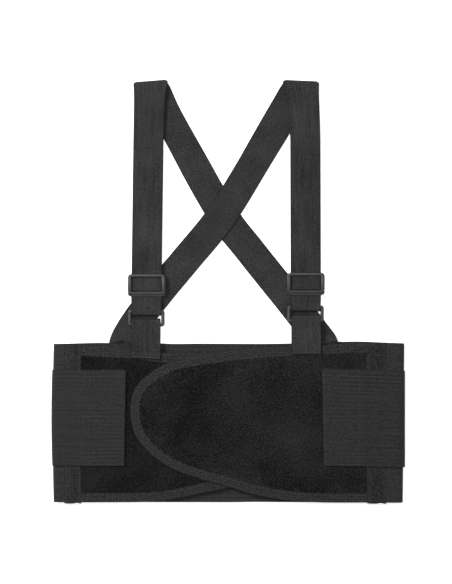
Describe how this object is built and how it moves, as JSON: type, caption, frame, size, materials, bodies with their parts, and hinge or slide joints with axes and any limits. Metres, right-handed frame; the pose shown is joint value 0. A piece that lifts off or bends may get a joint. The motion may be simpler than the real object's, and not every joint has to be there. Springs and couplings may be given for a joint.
{
  "type": "back brace",
  "caption": "Elastic lumbar belt with overlapping hook-and-loop front flaps, stretch side pulls, rear stays and crossed adjustable suspenders, laid flat.",
  "frame": {"origin": "middle of the footprint, at the level that the flat brace rests on", "axes": "+X to the right as seen from the front, +Y towards the shoulders, +Z out of the front"},
  "size_m": [0.4478, 0.5375, 0.0184],
  "materials": {
    "elastic": "ribbed knitted elastic, matt",
    "loop_fabric": "brushed loop pile, matt",
    "binding": "woven edge tape with two rows of stitching",
    "webbing": "narrow ribbed elastic webbing",
    "hook_tape": "moulded hook tape",
    "moulded_plastic": "satin moulded black plastic",
    "spring_steel": "flat spring steel"
  },
  "bodies": {
    "belt": {"back_panel": "elastic", "left_side_elastic": "elastic", "right_side_elastic": "elastic", "left_seam_tape": "binding", "right_seam_tape": "binding", "under_flap": "loop_fabric", "under_flap_binding": "binding", "over_flap_base": "loop_fabric", "over_flap_binding_top": "binding", "over_flap_binding_bottom": "binding", "left_pull_rear": "elastic", "right_pull_rear": "elastic", "left_pull_wrap": "elastic", "right_pull_wrap": "elastic", "left_rear_tape": "binding", "right_rear_tape": "binding", "left_rear_strap_end": "webbing", "right_rear_strap_end": "webbing", "left_tab_end": "webbing", "right_tab_end": "webbing", "stay_1": "spring_steel", "stay_2": "spring_steel", "stay_3": "spring_steel", "stay_4": "spring_steel", "stay_pocket_1": "binding", "stay_pocket_2": "binding", "stay_pocket_3": "binding", "stay_pocket_4": "binding"},
    "closure_tip": {"over_flap_tip": "loop_fabric", "over_flap_binding_tip": "binding", "closure_hook_patch": "hook_tape"},
    "left_pull": {"left_pull_front": "elastic", "left_pull_hook": "hook_tape"},
    "right_pull": {"right_pull_front": "elastic", "right_pull_hook": "hook_tape"},
    "harness": {"left_rear_strap": "webbing", "left_shoulder_fold": "webbing", "left_front_strap": "webbing", "left_return_strap": "webbing", "left_tab": "webbing", "right_rear_strap": "webbing", "right_shoulder_fold": "webbing", "right_front_strap": "webbing", "right_return_strap": "webbing", "right_tab": "webbing"},
    "left_slide": {"left_adjuster": "moulded_plastic"},
    "right_slide": {"right_adjuster": "moulded_plastic"},
    "left_link": {"left_ring": "moulded_plastic", "left_ring_loop": "webbing"},
    "right_link": {"right_ring": "moulded_plastic", "right_ring_loop": "webbing"}
  },
  "joints": [
    {"name": "harness_fold", "type": "hinge", "parent": "belt", "child": "harness", "pos_m": [0, -0.066, 0.0188], "axis": [-1, 0, 0], "range_deg": [-170, 0]},
    {"name": "closure_peel", "type": "hinge", "parent": "belt", "child": "closure_tip", "pos_m": [0.05285, -0.168, 0.0154], "axis": [0, 1, 0], "range_deg": [0, 165]},
    {"name": "left_pull_peel", "type": "hinge", "parent": "belt", "child": "left_pull", "pos_m": [-0.214, -0.16075, 0.0146], "axis": [0, -1, 0], "range_deg": [0, 165]},
    {"name": "right_pull_peel", "type": "hinge", "parent": "belt", "child": "right_pull", "pos_m": [0.214, -0.16075, 0.0183], "axis": [0, 1, 0], "range_deg": [0, 165]},
    {"name": "left_adjuster_slide", "type": "slide", "parent": "harness", "child": "left_slide", "axis": [0.0116, 0.9999, 0], "range_m": [-0.008, 0.15]},
    {"name": "right_adjuster_slide", "type": "slide", "parent": "harness", "child": "right_slide", "axis": [0, 1, 0], "range_m": [-0.008, 0.15]},
    {"name": "left_ring_pivot", "type": "hinge", "parent": "harness", "child": "left_link", "pos_m": [-0.1045, -0.04345, 0.0046], "axis": [1, 0, 0], "range_deg": [0, 45]},
    {"name": "right_ring_pivot", "type": "hinge", "parent": "harness", "child": "right_link", "pos_m": [0.0973, -0.03815, 0.0046], "axis": [1, 0, 0], "range_deg": [0, 45]}
  ]
}
